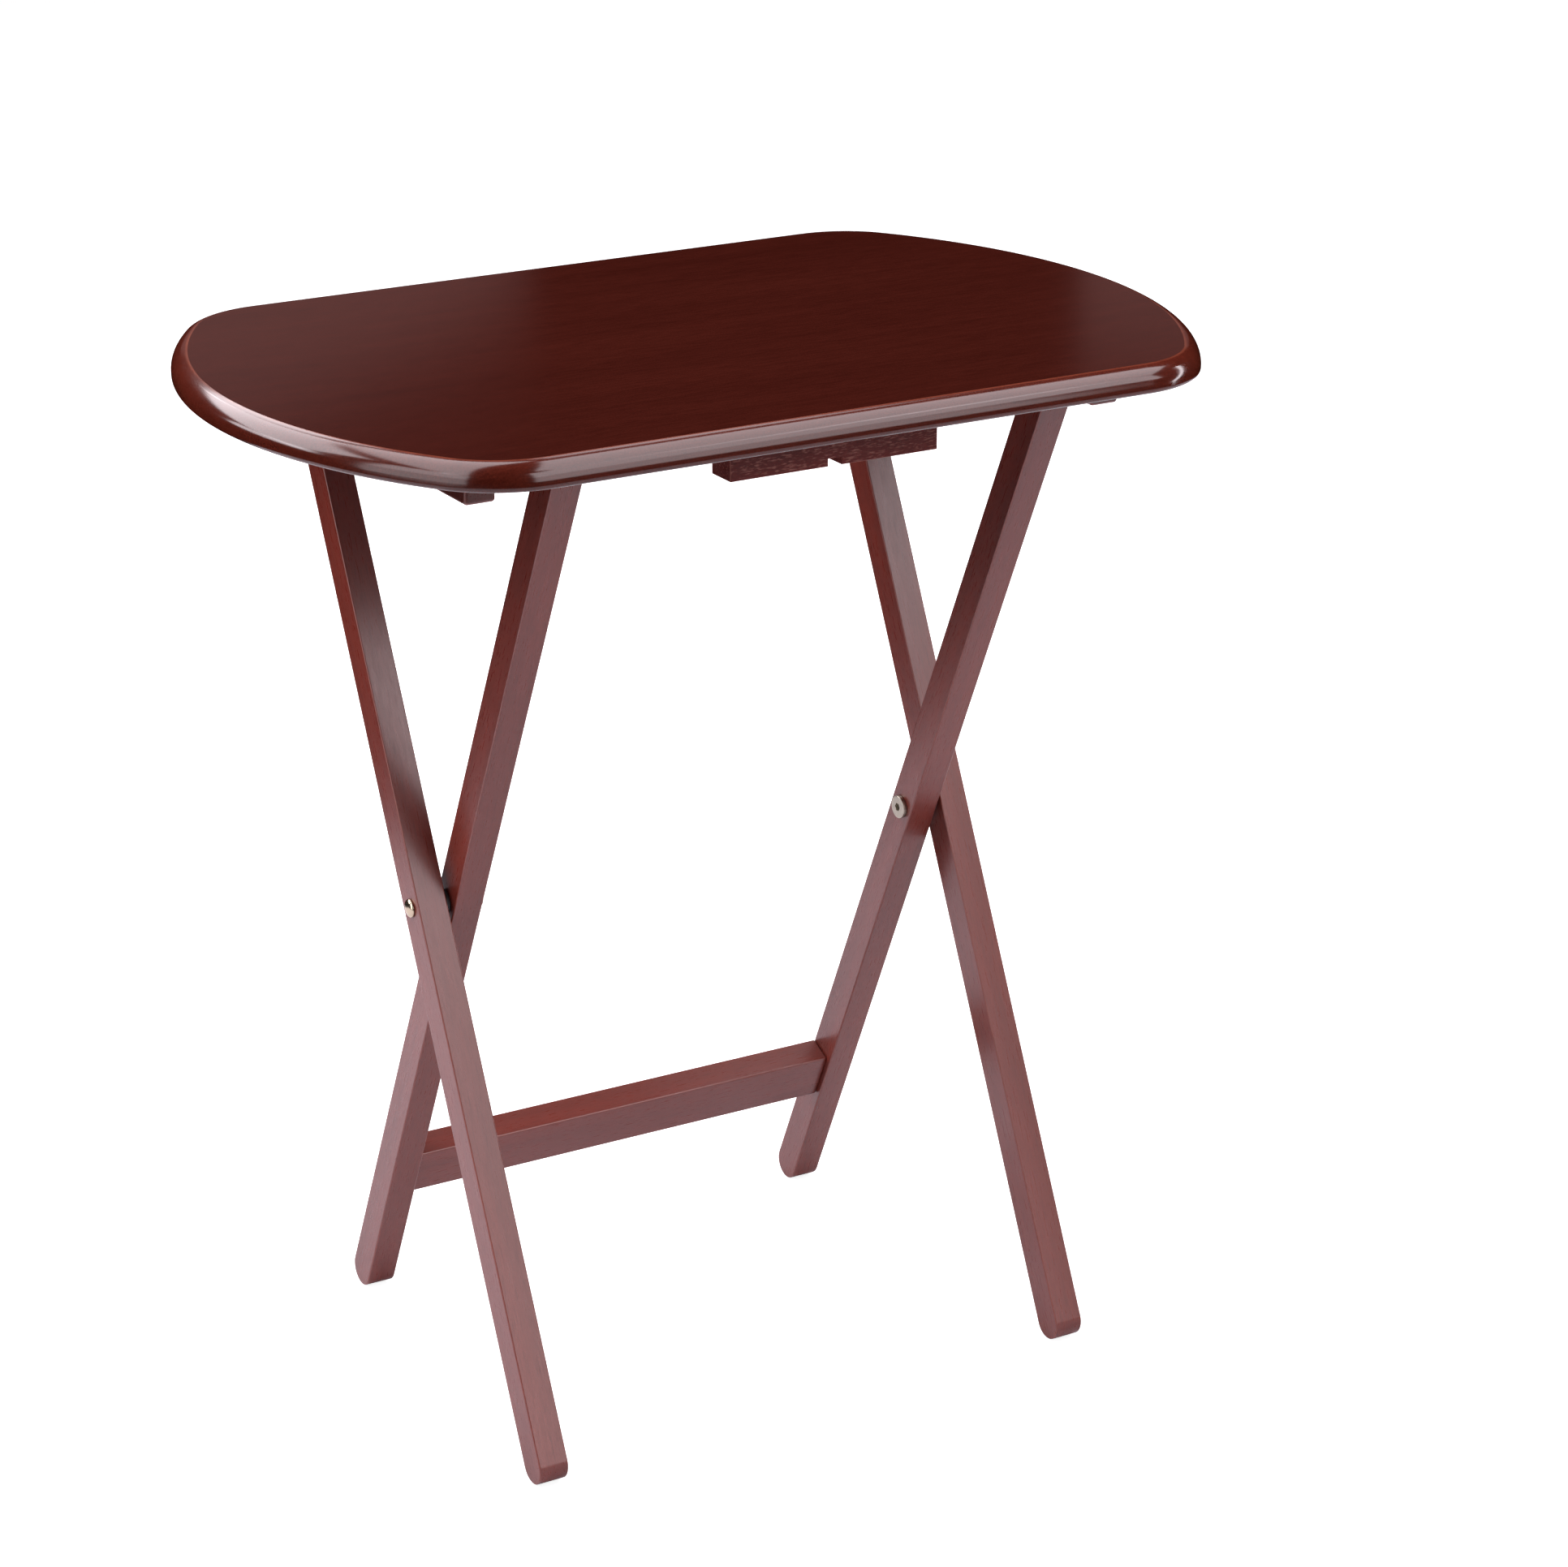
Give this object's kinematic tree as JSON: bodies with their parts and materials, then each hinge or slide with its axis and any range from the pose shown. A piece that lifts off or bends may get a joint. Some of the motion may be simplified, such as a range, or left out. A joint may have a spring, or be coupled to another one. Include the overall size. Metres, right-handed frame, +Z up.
{
  "type": "folding tray table",
  "caption": "Folding tray table: a round-cornered wooden top on two crossed pairs of legs that close together under it.",
  "frame": {"origin": "on the floor, under the middle of the top", "axes": "+Z up; X along the top's long side; the front, where the stop block is, faces -Y"},
  "size_m": [0.621, 0.417, 0.66],
  "materials": {
    "top_lacquer": "dark reddish walnut stain under glossy lacquer",
    "stained_wood": "reddish brown stain, satin lacquer",
    "block_wood": "reddish brown stain, open grain",
    "hardware_nickel": "warm nickel plate",
    "screw_steel": "zinc plate",
    "spacer_nylon": "dark nylon"
  },
  "bodies": {
    "outer_frame": {"outer_leg_left": "stained_wood", "outer_leg_right": "stained_wood", "scissor_bolt_left": "hardware_nickel", "scissor_bolt_right": "hardware_nickel", "scissor_nut_left": "hardware_nickel", "scissor_nut_right": "hardware_nickel", "scissor_spacer_left": "spacer_nylon", "scissor_spacer_right": "spacer_nylon"},
    "inner_frame": {"inner_leg_left": "stained_wood", "inner_leg_right": "stained_wood", "lower_stretcher": "stained_wood", "upper_dowel": "stained_wood"},
    "top_pins": {"top_pin_bolt_left": "hardware_nickel", "top_pin_bolt_right": "hardware_nickel", "top_pin_nut_left": "hardware_nickel", "top_pin_nut_right": "hardware_nickel", "top_pin_spacer_left": "spacer_nylon", "top_pin_spacer_right": "spacer_nylon"},
    "top": {"tabletop": "top_lacquer", "cleat_left": "stained_wood", "cleat_right": "stained_wood", "stop_block": "block_wood", "cleat_screw_left_1": "screw_steel", "cleat_screw_left_2": "screw_steel", "cleat_screw_left_3": "screw_steel", "cleat_screw_right_1": "screw_steel", "cleat_screw_right_2": "screw_steel", "cleat_screw_right_3": "screw_steel", "block_screw_1": "screw_steel", "block_screw_2": "screw_steel"}
  },
  "joints": [
    {"name": "leg_fold", "type": "hinge", "parent": "outer_frame", "child": "inner_frame", "pos_m": [0, -0.003, 0.3262], "axis": [-1, 0, 0], "range_deg": [0, 50.2]},
    {"name": "top_ride", "type": "hinge", "parent": "outer_frame", "child": "top_pins", "pos_m": [0, 0.14022, 0.63195], "axis": [-1, 0, 0], "range_deg": [0, 25.1]},
    {"name": "top_lift", "type": "hinge", "parent": "top_pins", "child": "top", "pos_m": [0, 0.14022, 0.63195], "axis": [-1, 0, 0], "range_deg": [0, 89]}
  ],
  "couplings": [
    {"joint": "top_ride", "follows": "leg_fold", "ratio": 0.5}
  ]
}
